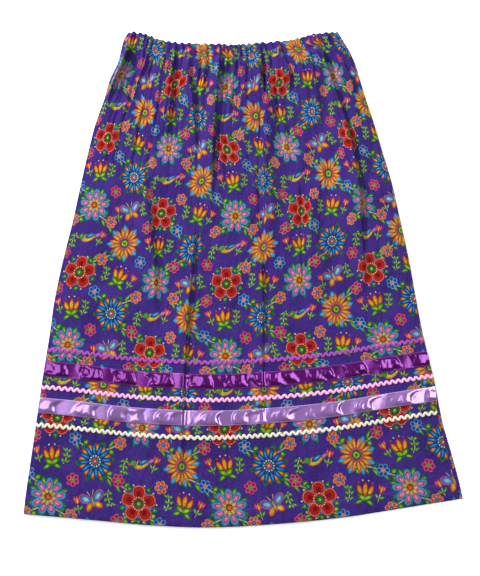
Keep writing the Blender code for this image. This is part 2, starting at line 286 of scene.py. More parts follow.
# Height of the front's face over its own resting level: gathers, folds, creases, swells and puckers,
# less the grooves of both seams.
def frontLift(t, up, x, y, left, right):
    inCasing = ease((up - casingLine + skirt["casingRamp"]) / skirt["casingRamp"])
    hold = 1 - (1 - gathering["inCasing"]) * inCasing
    overHem = up - skirt["hemDepth"]
    stitch = seams["depth"] * bell(overHem / seams["hemReach"])
    stitch = stitch + seams["depth"] * bell((up - casingLine) / seams["casingReach"])
    pucker = seams["pucker"] * bell(overHem / seams["puckerReach"])
    pucker = pucker * np.sin(x / seams["puckerLength"] + 2 * np.sin(x / seams["puckerDrift"]))
    lift = gatherLift(t, up) + hold * (foldLift(x, y) + smallCreases(t, up, right - left))
    lift = lift + between(swelling["height"], up) * (swelling["middle"] + swells(x, y)) + pucker - stitch
    return lift * nearSeam(x, left, right)


# Plan, resting level and face of the front.
def frontFace(t, up):
    x, y, left, right = planOf(t, up, True)
    wall = wallAt(up)
    rest = backRise(t, up, nearSeam(x, left, right)) + wall + skirt["gap"]
    lift = frontLift(t, up, x, y, left, right)
    return x, y, left, right, rest, rest + wall + np.maximum(lift, skirt["sink"])


# Face and underside of a panel. The edge is rounded: both meet halfway over the last millimetres.
def panelSurface(t, up, front):
    wall = wallAt(up)
    if front:
        x, y, left, right, rest, face = frontFace(t, up)
        slope = np.gradient(face, axis=1) / np.gradient(x, axis=1)
        under = np.maximum(face - wall * np.sqrt(1 + slope ** 2), rest - skirt["underSink"])
    else:
        x, y, left, right = planOf(t, up, False)
        under = backRise(t, up, nearSeam(x, left, right))
        face = under + wall
    inset = np.minimum.reduce([x - left, right - x, up, skirt["length"] - up])
    roundOff = np.sqrt(1 - (1 - np.clip(inset / skirt["rim"], 0.0, 1.0)) ** 2)
    middle, half = (face + under) / 2, (face - under) / 2
    half = half * (skirt["rimShare"] + (1 - skirt["rimShare"]) * roundOff)
    return x, y, middle + half, middle - half if front else under


# Cloth that a face takes up: its slope to a power, no steeper than this, and a little everywhere.
takeUp = {"steepest": 1.3, "power": 1.5, "everywhere": 0.6, "least": 0.02}


# Where the cloth's own threads lie across: it is taken up where the face is steep, most of all in
# the creases, so that every row holds the whole width of the cloth.
def clothAcross(x, z):
    slope = np.abs(np.gradient(z, axis=1) / np.gradient(x, axis=1))
    take = np.minimum(slope, takeUp["steepest"]) ** takeUp["power"]
    take = take + takeUp["everywhere"] * take.mean(axis=1, keepdims=True) + takeUp["least"]
    spare = skirt["clothWidth"] / (x[:, -1:] - x[:, :1]) - 1
    density = 1 + spare * take / take.mean(axis=1, keepdims=True)
    step = np.diff(x, axis=1) * (density[:, 1:] + density[:, :-1]) / 2
    across = np.concatenate([np.zeros_like(x[:, :1]), np.cumsum(step, axis=1)], axis=1)
    return across * skirt["clothWidth"] / across[:, -1:]


# A closed shell from two grids of points, with the print's coordinates in metres of flat cloth.
def shell(name, face, under, coordinates, material):
    rows, columns = face.shape[:2]
    count = rows * columns
    number = np.arange(count).reshape(rows, columns)
    a, b, c, d = (number[:-1, :-1], number[:-1, 1:], number[1:, 1:], number[1:, :-1])
    quads = [np.stack([a, b, c, d], -1), np.stack([d, c, b, a], -1) + count]
    first, last = number[0], number[-1]
    left, right = number[:, 0], number[:, -1]
    for low, high in ((first[:-1], first[1:]), (right[:-1], right[1:]),
                      (last[1:], last[:-1]), (left[1:], left[:-1])):
        quads.append(np.stack([low + count, high + count, high, low], -1))
    quads = np.concatenate([q.reshape(-1, 4) for q in quads])
    points = np.concatenate([face.reshape(-1, 3), under.reshape(-1, 3)]) * mm
    both = np.concatenate([coordinates.reshape(-1, 2)] * 2) * mm
    return meshPiece(name, points, quads, both, material)


# A mesh from points and faces, which rides on the skirt's one body.
def meshPiece(name, points, faces, coordinates, material):
    mesh = bpy.data.meshes.new(name)
    mesh.vertices.add(len(points))
    mesh.vertices.foreach_set("co", points.astype(np.float32).ravel())
    mesh.loops.add(faces.size)
    mesh.loops.foreach_set("vertex_index", faces.astype(np.int32).ravel())
    mesh.polygons.add(len(faces))
    mesh.polygons.foreach_set("loop_start", np.arange(0, faces.size, faces.shape[1], dtype=np.int32))
    mesh.update(calc_edges=True)
    layer = mesh.uv_layers.new(name="cloth")
    layer.data.foreach_set("uv", coordinates[faces.ravel()].astype(np.float32).ravel())
    mesh.shade_smooth()
    mesh.materials.append(material)
    piece = bpy.data.objects.new(name, mesh)
    scene.collection.objects.link(piece)
    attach(piece, "root")
    return piece


# From the middle of the outline to the frame's origin.
outline = planOf(*np.meshgrid(np.linspace(0, 1, 133), np.linspace(0, skirt["length"], 200)), False)[:2]
middleX, middleY = [(places.min() + places.max()) / 2 for places in outline]


def toFrame(x, y, z):
    return np.stack([x - middleX, y - middleY, z], -1)


# Node helpers. A value may be a number, a tuple or another node's output.
def feed(socket, value):
    if isinstance(value, bpy.types.NodeSocket):
        socket.id_data.links.new(value, socket)
    elif value is not None:
        socket.default_value = value


def fill(node, values):
    for label, value in values.items():
        feed(node.inputs[label], value)


making = {}         # the node tree that a new group or material starts, and that nodes are added to


def addNode(kind, values, **settings):
    node = making["tree"].nodes.new("ShaderNode" + kind)
    for name, value in settings.items():
        setattr(node, name, value)
    fill(node, values)
    return node


def calc(operation, *values):
    return addNode("Math", dict(enumerate(values)), operation=operation).outputs[0]


def times(a, b):
    return calc("MULTIPLY", a, b)


def vectorCalc(operation, *values):
    node = addNode("VectorMath", dict(enumerate(values)), operation=operation)
    return node.outputs["Value" if operation == "LENGTH" else "Vector"]


def split(vector):
    return addNode("SeparateXYZ", {0: vector}).outputs[:2]


def join(x, y):
    return addNode("CombineXYZ", {0: x, 1: y}).outputs[0]


def turnBy(vector, angle):
    values = {"Vector": vector, "Angle": angle}
    return addNode("VectorRotate", values, rotation_type="Z_AXIS").outputs[0]


def mixColour(factor, a, b, blend="MIX"):
    return addNode("Mix", {0: factor, 6: a, 7: b}, data_type="RGBA", blend_type=blend).outputs[2]


def mixVector(factor, a, b):
    return addNode("Mix", {0: factor, 4: a, 5: b}, data_type="VECTOR").outputs[1]


def noiseOf(vector, scale, detail):
    values = {"Vector": vector, "Scale": scale, "Detail": detail}
    return addNode("TexNoise", values, noise_dimensions="2D").outputs[0]


# Noise on the cloth, drawn out along one of its threads.
def drawnNoise(cloth, stretch, scale, detail):
    return noiseOf(vectorCalc("MULTIPLY", cloth, (*stretch, 1.0)), scale, detail)


# A screen colour such as 4a3190, as the linear colour that the shader wants.
def tint(code):
    parts = np.array([int(code[n:n + 2], 16) for n in (0, 2, 4)]) / 255
    linear = np.where(parts <= 0.04045, parts / 12.92, ((parts + 0.055) / 1.055) ** 2.4)
    return (*linear.tolist(), 1.0)


# Colours along a value. Each stop is a place and a screen colour.
def ramp(factor, stops):
    node = addNode("ValToRGB", {0: factor})
    elements = node.color_ramp.elements
    while len(elements) < len(stops):
        elements.new(1.0)
    for element, (place, code) in zip(elements, stops):
        element.position = place
        element.color = tint(code)
    return node.outputs[0]


# A group whose tree takes the nodes that follow, with its sockets' names by their kind.
def newGroup(name, inputs, outputs):
    tree = making["tree"] = bpy.data.node_groups.new(name, "ShaderNodeTree")
    for side, sockets in (("INPUT", inputs), ("OUTPUT", outputs)):
        for kind, labels in sockets.items():
            for label in labels:
                tree.interface.new_socket(label, in_out=side, socket_type="NodeSocket" + kind)
    return tree, tree.nodes.new("NodeGroupInput").outputs, tree.nodes.new("NodeGroupOutput").inputs


def useGroup(group, values):
    return addNode("Group", values, node_tree=group).outputs


petalShape = ("Half length", "Half width", "Roundness", "Taper")


# How far out in a petal a place is, 0 in its middle and 1 on its edge: along squared, plus across
# to the power of its roundness. 1 gives a pointed petal and 2 an oval; taper widens its far end.
def petalEdge(along, across, given):
    along = calc("DIVIDE", along, given["Half length"])
    across = calc("DIVIDE", across, given["Half width"])
    widen = calc("MULTIPLY_ADD", along, given["Taper"], 1.0)
    across = calc("ABSOLUTE", calc("DIVIDE", across, widen))
    rounded = calc("POWER", across, given["Roundness"])
    return calc("MULTIPLY_ADD", along, along, rounded)


# One petal about a middle, turned.
def makePetalGroup():
    tree, given, result = newGroup(
        "petal", {"Vector": ("Place", "Middle"), "Float": ("Turn", *petalShape)}, {"Float": ("Edge",)})
    place = vectorCalc("SUBTRACT", given["Place"], given["Middle"])
    place = turnBy(place, times(given["Turn"], -1.0))
    feed(result[0], petalEdge(*split(place), given))
    return tree


# The same petal repeated round a middle: the angle is folded into one petal's share.
def makeRingGroup():
    tree, given, result = newGroup(
        "petalRing", {"Vector": ("Place",), "Float": ("Count", "Turn", "Radius", *petalShape)},
        {"Float": ("Edge",)})
    x, y = split(given["Place"])
    angle = calc("SUBTRACT", calc("ARCTAN2", y, x), given["Turn"])
    half = calc("DIVIDE", math.pi, given["Count"])
    angle = calc("WRAP", angle, half, times(half, -1.0))
    reach = vectorCalc("LENGTH", given["Place"])
    along = times(reach, calc("COSINE", angle))
    across = times(reach, calc("SINE", angle))
    along = calc("SUBTRACT", along, given["Radius"])
    feed(result[0], petalEdge(along, across, given))
    return tree


# The printed cotton, of one repeat that holds all motifs. Places and sizes are millimetres of flat
# cloth and turns are degrees. Colours run from a shape's middle to its edge.
printCloth = {
    "repeat": (150.0, 248.0),
    "ground": "5e3fb0",
    "groundDeep": "3e2684",
    "groundPatches": 0.02,
    "roughness": 0.85,
    "specular": 0.2,
    "weave": 0.04,          # depth of the weave
    "threads": 2.2,
    "uneven": 0.6,
    "unevenScale": 0.42,
    "depth": 0.385,         # share of the colours' brightness that the threads keep
    "mottle": 1.5,
    "crinkle": 2.4,         # depth of the fine wrinkles
    "crinkleForm": ((1.0, 0.45), 0.1, 3.0),      # stretch, scale and detail of their noise
    "grain": 0.6,           # depth of the slubby grain
    "grainForm": ((1.0, 0.6), 0.6, 2.0),
}


# Fine plain weave: warp and weft threads as crossed sine waves, with uneven thread.
def makeWeaveGroup():
    tree, given, result = newGroup(
        "plainWeave", {"Vector": ("Cloth",), "Float": ("Threads per mm",)}, {"Float": ("Height", "Uneven")})
    x, y = split(given["Cloth"])
    turns = times(given["Threads per mm"], math.pi)
    warp = calc("SINE", times(x, turns))
    weft = calc("SINE", times(y, turns))
    uneven = noiseOf(given["Cloth"], printCloth["unevenScale"], 3.0)
    crossed = times(warp, weft)
    feed(result["Height"], calc("MULTIPLY_ADD", uneven, printCloth["uneven"], crossed))
    feed(result["Uneven"], uneven)
    return tree


# A motif's layers: petals round its middle, one petal, or a disc. A size is half a length and half a
# width, and a turn of 90 points the petals outwards and up.
def ring(count, radius, size, colours, **more):
    return {"count": count, "radius": radius, "size": size, "colours": colours, **more}


def petal(x, y, turn, size, colours, **more):
    return {"at": (x, y, 0.0), "turn": turn, "size": size, "colours": colours, **more}


def disc(radius, colours):
    return {"disc": radius, "colours": colours}


leafGreens = [(0, "d2e03c"), (0.16, "b0cc30"), (0.42, "2f9a32"), (0.82, "1c7832"), (1, "0e4422")]
dotCream = [(0, "f6f2d0"), (1, "d8d4a4")]
dotOrange = [(0, "f46c30"), (1, "d8441c")]
petalFlame = [(0, "f8dc48"), (0.28, "f4b424"), (0.48, "ec6c24"), (0.76, "d02c20"), (1, "6c1018")]
budRose = [(0, "f8b0d0"), (0.35, "ec4c94"), (0.75, "c81c68"), (1, "680c3c")]
tailPlum = [(0, "f0a0d0"), (0.5, "c868c0"), (1, "7c3c98")]
stemColour = "cdd0a0"
daisy = {"spots": [(38, 30, 0)], "layers": [
    ring(8, 25.5, (9.5, 5.2), leafGreens, turn=22, round=1.2),
    ring(9, 18.0, (13.0, 6.6), [
        (0, "f8b0d4"), (0.1, "f08cc0"), (0.2, "e23a80"), (0.3, "d02868"), (0.38, "58b8d8"),
        (0.72, "3f9cc8"), (0.86, "2470b0"), (1, "12306c")], round=2.0, taper=0.32),
    ring(9, 9.0, (4.4, 2.3), [(0, "f8dc3c"), (0.6, "f0bc20"), (1, "c07818")], turn=110),
    disc(5.6, [(0, "f09018"), (0.55, "e8741c"), (0.7, "b83418"), (1, "8c2018")]),
]}
aster = {"spots": [(111, 93, 10)], "layers": [
    ring(6, 26.0, (9.0, 4.6), leafGreens, turn=0, round=1.2),
    ring(12, 19.5, (9.5, 4.6), [
        (0, "f8d030"), (0.3, "f4b020"), (0.62, "ee5c20"), (0.82, "cc2c18"), (1, "7c1414")],
         turn=105, round=1.3, taper=0.25),
    ring(12, 18.5, (12.5, 4.3), [
        (0, "58bce8"), (0.2, "2f90d4"), (0.42, "1a5cb4"), (0.8, "124494"), (1, "081c54")], round=1.3),
    ring(12, 8.6, (1.4, 1.4), dotCream, turn=105, round=2.0),
    disc(7.2, [(0, "f8e0b8"), (0.2, "f4d8b0"), (0.28, "e05078"), (0.62, "d03c68"), (0.74, "208c7c"),
               (1, "146454")]),
]}
poppy = {"spots": [(38, 156, 0)], "layers": [
    ring(5, 24.0, (10.5, 5.0), leafGreens, turn=126, round=1.2),
    ring(5, 17.0, (9.5, 7.0), [
        (0, "4cb8e0"), (0.25, "2f8ccc"), (0.6, "1858ac"), (1, "0c2c70")], turn=126, round=1.3),
    ring(5, 16.0, (14.0, 10.6), [
        (0, "8c1010"), (0.08, "a81414"), (0.2, "d8281c"), (0.62, "d0241c"), (0.76, "f0b4a8"),
        (0.84, "d83028"), (1, "780c10")], round=2.3, taper=0.30),
    ring(15, 10.2, (1.2, 1.0), dotCream, round=2.0),
    ring(10, 30.0, (1.5, 1.5), dotCream, turn=108, round=2.0),
    disc(7.4, [(0, "dce05c"), (0.24, "c8d448"), (0.36, "2c9038"), (0.74, "1c7030"), (1, "0c4420")]),
]}
sunburst = {"spots": [(111, 219, 0)], "layers": [
    ring(8, 25.5, (10.5, 6.0), [(0, "78d0f0"), (0.3, "4cb4e4"), (0.6, "1c6cc0"), (1, "0c2c70")],
         turn=101, round=1.3, taper=0.2),
    ring(16, 18.0, (11.0, 3.3), [
        (0, "f8d43c"), (0.3, "f4ac20"), (0.62, "f07818"), (0.8, "dc4420"), (1, "901c28")],
         round=1.5, taper=0.2),
    ring(16, 10.6, (3.4, 1.9), [(0, "f078b0"), (0.5, "d8387c"), (1, "8c1850")], turn=101, round=1.5),
    disc(8.2, [(0, "28882c"), (0.3, "38a038"), (0.42, "d8dc50"), (0.56, "c8cc40"), (0.66, "2c9038"),
               (1, "145c28")]),
]}
rosetteSpots = [((76, 60, 10), (2, 190, 30), (3, 126, 5)), ((0, 64, 20), (73, 126, 0)),
                ((75, 184, 40), (2, 2, 12), (77, 4, 33))]
rosetteColours = [        # petal's heart and edge, middle of the rosette
    ("cc2448", "f070b0", "58ac3c"), ("1c50b4", "6cc0ec", "f08c7c"), ("f0642c", "f8a898", "2c6cc0"),
]
rosettes = [
    {"spots": spots, "layers": [
        ring(6, 7.0, (4.4, 3.9), [(0, heart), (0.42, heart), (0.56, edge), (0.86, edge), (1, "2c1450")],
             round=2.0, taper=0.1),
        disc(3.6, [(0, "f4e880"), (0.4, middle), (1, middle)]),
    ]}
    for spots, (heart, edge, middle) in zip(rosetteSpots, rosetteColours)
]
tulips = {"spots": [(37, 92, 8), (113, 156, -14)], "mirrored": True, "layers": [
    petal(8.5, -13.5, -28, (8.5, 3.8), leafGreens),
    petal(8.8, 4.5, 66, (11.5, 5.0), petalFlame),
    petal(0.0, 7.0, 90, (12.5, 5.4), petalFlame),
    petal(4.8, -6.4, 32, (9.2, 5.0), leafGreens, round=1.6),
    petal(11.5, 17.5, 0, (1.4, 1.4), dotOrange, round=2.0),
    petal(5.0, 21.0, 0, (1.4, 1.4), dotCream, round=2.0),
]}
butterfly = {"spots": [(112, 30, 20)], "mirrored": True, "layers": [
    petal(7.5, -8.0, -48, (9.0, 5.6), [
        (0, "f4dc40"), (0.35, "f09428"), (0.7, "e04838"), (1, "7c1438")], round=1.8),
    petal(10.5, 5.0, 36, (12.5, 7.2), [
        (0, "c8e8f0"), (0.25, "48b0dc"), (0.55, "2060b8"), (0.8, "e868a8"), (1, "9c2464")],
          round=1.8, taper=0.22),
    petal(0.0, -1.0, 90, (11.0, 1.7), [(0, "f0d850"), (1, "2c8040")]),
    petal(4.0, 13.0, 68, (5.5, 0.7), [(0, "e8dcb0"), (1, "c8b890")]),
]}
songbird = {"spots": [(38, 217, 12)], "layers": [
    petal(19.0, 3.4, 15, (10.5, 3.4), tailPlum, taper=0.3),
    petal(3.0, 1.0, 6, (14.0, 7.2), [
        (0, "f8e450"), (0.5, "f0cc30"), (0.8, "e8882c"), (1, "a03c20")], round=1.9, taper=-0.2),
    petal(7.5, 4.6, 14, (11.5, 4.4), [
        (0, "78c8ec"), (0.35, "2c80c8"), (0.75, "184c98"), (1, "0c2458")], round=1.5, taper=-0.3),
    petal(-10.5, 5.0, 0, (6.0, 5.4), [(0, "58b850"), (0.6, "38a048"), (1, "145c30")], round=2.0),
    petal(-17.0, 4.2, 8, (3.6, 1.7), [(0, "f08c2c"), (1, "b8541c")]),
    petal(-12.0, 6.2, 0, (1.2, 1.2), [
        (0, "f8f4e0"), (0.3, "f8f4e0"), (0.4, "101020"), (1, "101020")], round=2.0),
]}
budSpots = [(12, 96, 24), (138, 152, -30), (88, 22, 14), (64, 220, -22)]
buds = {"spots": budSpots, "mirrored": True, "layers": [
    petal(0.0, -6.0, 90, (10.0, 1.1), [(0, "d4d8a8"), (1, "a8b480")], round=1.0),
    petal(4.4, -6.0, 42, (5.6, 2.6), leafGreens, round=1.3),
    petal(3.0, 7.6, 66, (7.4, 3.4), budRose),
    petal(0.0, 6.6, 90, (7.8, 3.2), petalFlame),
]}
sprigs = {
    "spots": [(62, 96, 82), (88, 160, 82), (137, 36, 285), (10, 214, 262)],
    "halfLength": 13.0,
    "bend": 0.022,          # how strongly the stem curves
    "stem": 0.9,
    "leafPitch": 8.7,
    "leaf": petal(1.2, 4.2, 54, (5.0, 2.8), leafGreens, round=1.3),
}
vines = {
    "rows": 62.0,           # between one vine and the next
    "swing": 14.0,
    "bareBelow": -0.3,      # a vine stops where a sine along it is under this
    "stem": 1.2,
    "leafPitch": 15.0,
    "leaf": petal(2.2, 6.6, 50, (7.6, 4.2), leafGreens, round=1.3),
}


# A place seen from a spot of the repeat. Each repeat across stands half a repeat higher.
def makeRepeatGroup():
    tree, given, result = newGroup(
        "halfDrop", {"Vector": ("Cloth", "Spot")}, {"Vector": ("Place",), "Float": ("Reach",)})
    wide, high = printCloth["repeat"]
    x, y = split(vectorCalc("SUBTRACT", given["Cloth"], given["Spot"]))
    near = calc("WRAP", x, wide / 2, -wide / 2)
    column = calc("DIVIDE", calc("SUBTRACT", x, near), wide)
    y = calc("WRAP", calc("MULTIPLY_ADD", column, -high / 2, y), high / 2, -high / 2)
    place = join(near, y)
    feed(result["Place"], place)
    feed(result["Reach"], vectorCalc("LENGTH", place))
    return tree


petalGroup = makePetalGroup()
ringGroup = makeRingGroup()
weaveGroup = makeWeaveGroup()
repeatGroup = makeRepeatGroup()


# Lays a layer of a motif over the colours under it, wherever its edge value is under 1.
def addLayer(under, place, layer, within=None):
    if "disc" in layer:
        edge = calc("DIVIDE", vectorCalc("LENGTH", place), layer["disc"])
    else:
        values = {
            "Place": place, "Half length": layer["size"][0], "Half width": layer["size"][1],
            "Turn": math.radians(layer.get("turn", 90.0)), "Roundness": layer.get("round", 1.4),
            "Taper": layer.get("taper", 0.0)}
        if "count" in layer:
            group, values = ringGroup, {**values, "Count": layer["count"], "Radius": layer["radius"]}
        else:
            group, values = petalGroup, {**values, "Middle": layer["at"]}
        edge = useGroup(group, values)[0]
    mask = calc("LESS_THAN", edge, 1.0)
    if within is not None:
        mask = times(mask, within)
    return mixColour(mask, under, ramp(edge, layer["colours"]))


# The place as seen from the nearest of a motif's spots, turned as the motif is there.
def fromNearest(cloth, spots):
    best = bestReach = bestTurn = None
    for x, y, turn in spots:
        local, reach = useGroup(repeatGroup, {"Cloth": cloth, "Spot": (x, y, 0.0)})
        angle = -math.radians(turn)
        if best is None:
            best, bestReach, bestTurn = local, reach, angle
            continue
        nearer = calc("LESS_THAN", reach, bestReach)
        best = mixVector(nearer, best, local)
        bestReach = calc("MINIMUM", reach, bestReach)
        further = calc("SUBTRACT", 1.0, nearer)
        bestTurn = calc("MULTIPLY_ADD", nearer, angle, times(further, bestTurn))
    return turnBy(best, bestTurn)


# All layers of a motif in turn. A mirrored one is drawn by its right half.
def addMotif(under, cloth, motif):
    place = fromNearest(cloth, motif["spots"])
    if motif.get("mirrored"):
        x, y = split(place)
        place = join(calc("ABSOLUTE", x), y)
    for layer in motif["layers"]:
        under = addLayer(under, place, layer)
    return under


# A stem along X with pairs of leaves, at a distance off it, and bare where inside is 0.
def addStem(under, x, off, look, inside):
    pitch, off = look["leafPitch"], calc("ABSOLUTE", off)
    leafPlace = join(calc("WRAP", x, pitch / 2, -pitch / 2), off)
    onStem = calc("LESS_THAN", off, look["stem"])
    under = mixColour(times(onStem, inside), under, tint(stemColour))
    return addLayer(under, leafPlace, look["leaf"], inside)


# Short sprigs, bent as a parabola.
def addSprigs(under, cloth):
    x, y = split(fromNearest(cloth, sprigs["spots"]))
    off = calc("SUBTRACT", y, times(times(x, x), sprigs["bend"]))
    inside = calc("LESS_THAN", calc("ABSOLUTE", x), sprigs["halfLength"])
    return addStem(under, x, off, sprigs, inside)


# Vines across the cloth, each a sine that swings the other way from the next, through the flowers.
def addVines(under, cloth):
    x, y = split(cloth)
    row = calc("ROUND", calc("DIVIDE", y, vines["rows"]))
    away = calc("MULTIPLY_ADD", row, -vines["rows"], y)
    side = calc("COSINE", times(row, math.pi))
    turned = times(x, circle / printCloth["repeat"][0])
    wave = calc("SINE", turned)
    swing = times(times(side, wave), vines["swing"])
    phase = calc("MULTIPLY_ADD", row, math.pi / 2, turned)
    grown = calc("GREATER_THAN", calc("SINE", phase), vines["bareBelow"])
    return addStem(under, x, calc("SUBTRACT", away, swing), vines, grown)


# A material whose tree takes the nodes that follow.
def newMaterial(name):
    material = bpy.data.materials.new(name)
    material.use_nodes = True
    making["tree"] = material.node_tree
    return material, material.node_tree.nodes["Principled BSDF"]


# The cloth's own coordinates, in millimetres.
def clothPlace():
    place = addNode("UVMap", {}, uv_map="cloth").outputs[0]
    return vectorCalc("SCALE", place, None, None, 1 / mm)


def bumpFrom(shader, height, strength, distance):
    bump = addNode("Bump", {"Strength": strength, "Distance": distance, "Height": height})
    feed(shader.inputs["Normal"], bump.outputs[0])


# Ground, vines, sprigs and motifs over each other, dulled thread by thread, on a bump of weave,
# slubby grain and fine wrinkles.
def makePrint():
    material, shader = newMaterial("printedCotton")
    cloth = clothPlace()
    patches = noiseOf(cloth, printCloth["groundPatches"], 3.0)
    colour = mixColour(patches, tint(printCloth["groundDeep"]), tint(printCloth["ground"]))
    colour = addVines(colour, cloth)
    colour = addSprigs(colour, cloth)
    for motif in (daisy, aster, poppy, sunburst, *rosettes, tulips, buds, butterfly, songbird):
        colour = addMotif(colour, cloth, motif)
    weave = useGroup(weaveGroup, {"Cloth": cloth, "Threads per mm": printCloth["threads"]})
    depth, mottle = printCloth["depth"], printCloth["mottle"]
    thread = calc("MULTIPLY_ADD", weave["Uneven"], depth * mottle, depth * (1 - mottle / 2))
    fill(shader, {
        "Base Color": mixColour(1, colour, thread, "MULTIPLY"),
        "Roughness": printCloth["roughness"], "Specular IOR Level": printCloth["specular"]})
    crinkle = drawnNoise(cloth, *printCloth["crinkleForm"])
    grain = drawnNoise(cloth, *printCloth["grainForm"])
    height = times(weave["Height"], printCloth["weave"])
    height = calc("MULTIPLY_ADD", grain, printCloth["grain"], height)
    bumpFrom(shader, calc("MULTIPLY_ADD", crinkle, printCloth["crinkle"], height), 1.0, mm)
    print("print made of", len(material.node_tree.nodes), "nodes")
    return material


# Satin ribbon with paler woven margins, mottled in broad patches of painted shade. Its lengthwise threads
# show as a fine grain.
ribbonWidth = 25.4
satinWeave = {"margin": 1.7, "specular": 0.6, "coatRoughness": 0.1, "patches": 0.03,
              "threadForm": ((0.15, 5.0), 1.0, 2.0), "threadShows": 0.12, "threadDepth": 0.3 * mm}
# Each satin's base colour, its darker painted-shade copy, its margin colour and its gloss.
satins = {
    "dark": {"base": "741684", "paintedShade": "540e66", "margin": "8c3c9c", "roughness": 0.13, "metallic": 0.65,
             "sheen": 0.35},
    "lilac": {"base": "a67cc0", "paintedShade": "8e68ac", "margin": "b898cc", "roughness": 0.14, "metallic": 0.5,
              "sheen": 0.8},
}


def makeSatin(name, look):
    material, shader = newMaterial(name)
    cloth = clothPlace()
    # Painted shade: a slow noise mixes a darker copy of the satin's colour into its base, in broad patches.
    patches = noiseOf(cloth, satinWeave["patches"], 1.0)
    colour = mixColour(patches, tint(look["paintedShade"]), tint(look["base"]))
    off = calc("ABSOLUTE", split(cloth)[1])
    onMargin = calc("GREATER_THAN", off, ribbonWidth / 2 - satinWeave["margin"])
    fill(shader, {
        "Base Color": mixColour(onMargin, colour, tint(look["margin"])),
        "Roughness": look["roughness"], "Metallic": look["metallic"], "Coat Weight": look["sheen"],
        "Coat Roughness": satinWeave["coatRoughness"], "Specular IOR Level": satinWeave["specular"]})
    fine = drawnNoise(cloth, *satinWeave["threadForm"])
    bumpFrom(shader, fine, satinWeave["threadShows"], satinWeave["threadDepth"])
    return material


braidWeave = {"ribs": 6.0, "grooveShadeShare": 0.3, "middleShare": 0.6, "roughness": 0.6, "sheen": 0.15,
              "ribShows": 0.5, "ribDepth": 0.2 * mm}
braids = {
    "orchid": {"base": "a444aa", "grooveShade": "7c2c88"},
    "pink": {"base": "f8b8e2", "grooveShade": "dc88bc"},
    "cream": {"base": "e6dfcf", "grooveShade": "b4ab98"},
}


# Ric-rac: flat braid, ribbed slantwise to both sides of its middle, with painted shade darkening its colour
# into the grooves between the ribs.
def makeBraid(name, look):
    material, shader = newMaterial(name)
    x, y = split(clothPlace())
    slant = calc("ADD", x, calc("ABSOLUTE", y))
    ribs = calc("SINE", times(slant, braidWeave["ribs"]))
    # Painted shade: the colour runs to the darker one where the rib bump is lowest.
    share = calc("MULTIPLY_ADD", ribs, braidWeave["grooveShadeShare"], braidWeave["middleShare"])
    fill(shader, {
        "Base Color": mixColour(share, tint(look["grooveShade"]), tint(look["base"])),
        "Roughness": braidWeave["roughness"], "Sheen Weight": braidWeave["sheen"]})
    bumpFrom(shader, ribs, braidWeave["ribShows"], braidWeave["ribDepth"])
    return material


threadTwist = {"scale": 900.0, "dark": 0.6, "roughness": 0.5}
threads = {"purple": "6a4ab8", "plum": "8c40a0", "lilac": "b48cd0", "orchid": "8c3494", "pink": "f0a8d8",
           "cream": "d8d0bc"}


# Sewing thread: slanting bands of painted shade, darker and lighter, for the turns of its plies.
def makeThread(name, code):
    material, shader = newMaterial(name)
    place = addNode("TexCoord", {}).outputs["Object"]
    values = {"Vector": place, "Scale": threadTwist["scale"]}
    twistShade = addNode("TexWave", values, bands_direction="DIAGONAL")
    # Painted shade between the plies: the dark bands take this share of the thread's colour.
    dark = tuple(threadTwist["dark"] * part for part in tint(code)[:3]) + (1.0,)
    fill(shader, {
        "Base Color": mixColour(twistShade.outputs["Fac"], dark, tint(code)),
        "Roughness": threadTwist["roughness"]})
    return material


cotton = makePrint()
satinMaterials = {name: makeSatin(name + "Satin", look) for name, look in satins.items()}
braidMaterials = {name: makeBraid(name + "Braid", look) for name, look in braids.items()}
threadMaterials = {name: makeThread(name + "Thread", code) for name, code in threads.items()}


# Rows and columns of the panels, closer where the cloth bends more and at the rims.
frontGrid = {"columns": 432, "rim": (0.0008, 0.0018, 0.0032), "ups": np.concatenate([
    [0.0, 0.5, 1.6, 8.0, 17.0, 23.0, 25.6, 27.0, 28.4, 31.0], np.arange(40.0, 740.0, 10.0),
    np.arange(746.0, 830.0, 6.0), [832.0, 834.3, 836.0, 837.7, 840.0], np.arange(843.0, 858.0, 3.2),
    [859.4, 860.5, 861.0]])}
backGrid = {"columns": 198, "rim": (0.001, 0.003), "ups": np.concatenate([
    [0.0, 0.6, 1.6, 25.0, 29.0], np.linspace(45, 126, 8), np.linspace(128, 142, 6),
    np.linspace(155, 267, 10), np.linspace(274, 283, 4), np.linspace(300, 800, 44),
    np.linspace(806, 858, 22), [859.4, 860.4, 861.0]])}


# A panel's shell over its grid of places, across and up.
def makePanel(name, node, front, grid, clothStart):
    rim = np.array(grid["rim"])
    t = np.unique(np.concatenate([np.linspace(0.0, 1.0, grid["columns"] + 1), rim, 1 - rim]))
    t, up = np.meshgrid(t, grid["ups"])
    x, y, face, under = panelSurface(t, up, front)
    across = clothAcross(x, face) if front else acrossShare(t) * skirt["clothWidth"]
    coordinates = np.stack([clothStart + across, up], -1)
    piece = shell(name, toFrame(x, y, face), toFrame(x, y, under), coordinates, cotton)
    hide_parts(node)
    print(name, "has", 2 * len(piece.data.polygons), "triangles")
    return piece


frontPanel = makePanel("frontPanel", "front_panel", True, frontGrid, 0.0)
backPanel = makePanel("backPanel", "back_panel", False, backGrid, skirt["clothWidth"])


# Plan and height of what a trim lies on, at any places: the front's face, or the floor at the back.
def underTrim(t, up, front=True):
    t, up = np.atleast_2d(t), np.atleast_2d(up)
    if front:
        x, y, *_, face = frontFace(t, up)
        return x, y, face
    x, y, *_ = planOf(t, up, False)
    return x, y, np.zeros_like(x)


